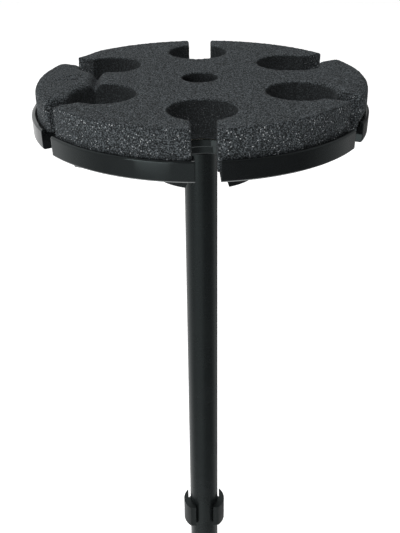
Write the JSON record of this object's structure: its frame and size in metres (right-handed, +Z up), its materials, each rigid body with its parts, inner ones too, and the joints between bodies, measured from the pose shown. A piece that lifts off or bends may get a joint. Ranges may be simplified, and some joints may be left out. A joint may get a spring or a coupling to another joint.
{
  "type": "microphone holder tray",
  "caption": "Round tray with a keyholed foam pad that stores handheld microphones upright on a stand, screwed on an extension tube with a sliding cable clip.",
  "frame": {"origin": "centre of the female stand thread's mouth, at the foot of the tube", "axes": "+Z up along the tube and the tray's axis; one keyhole slot and the clip's opening face -Y"},
  "size_m": [0.1836, 0.1832, 0.3791],
  "materials": {
    "tray": "glossy black moulded plastic",
    "foam": "charcoal open-cell foam",
    "film": "clear adhesive film",
    "hub": "zinc-plated casting",
    "screws": "bright zinc plate",
    "washer": "red vulcanised fibre",
    "stud": "blackened turned steel",
    "tube": "semi-gloss black paint",
    "foot": "satin black",
    "clip": "satin black moulded plastic"
  },
  "bodies": {
    "tube": {"tube": "tube", "thread_stud": "stud", "foot_coupler": "foot", "friction_washer": "washer"},
    "tray": {"tray_shell": "tray", "foam_pad": "foam", "foam_film": "film", "hub_flange_bush": "hub", "hub_screw_1": "screws", "hub_screw_2": "screws", "hub_screw_3": "screws", "hub_screw_washer_1": "screws", "hub_screw_washer_2": "screws", "hub_screw_washer_3": "screws"},
    "clip": {"cable_clip": "clip"}
  },
  "joints": [
    {"name": "tray_turn", "type": "hinge", "parent": "tube", "child": "tray", "pos_m": [0, 0, 0.34], "axis": [0, 0, 1], "continuous": true},
    {"name": "clip_slide", "type": "slide", "parent": "tube", "child": "clip", "axis": [0, 0, 1], "range_m": [-0.031, 0.255]}
  ]
}
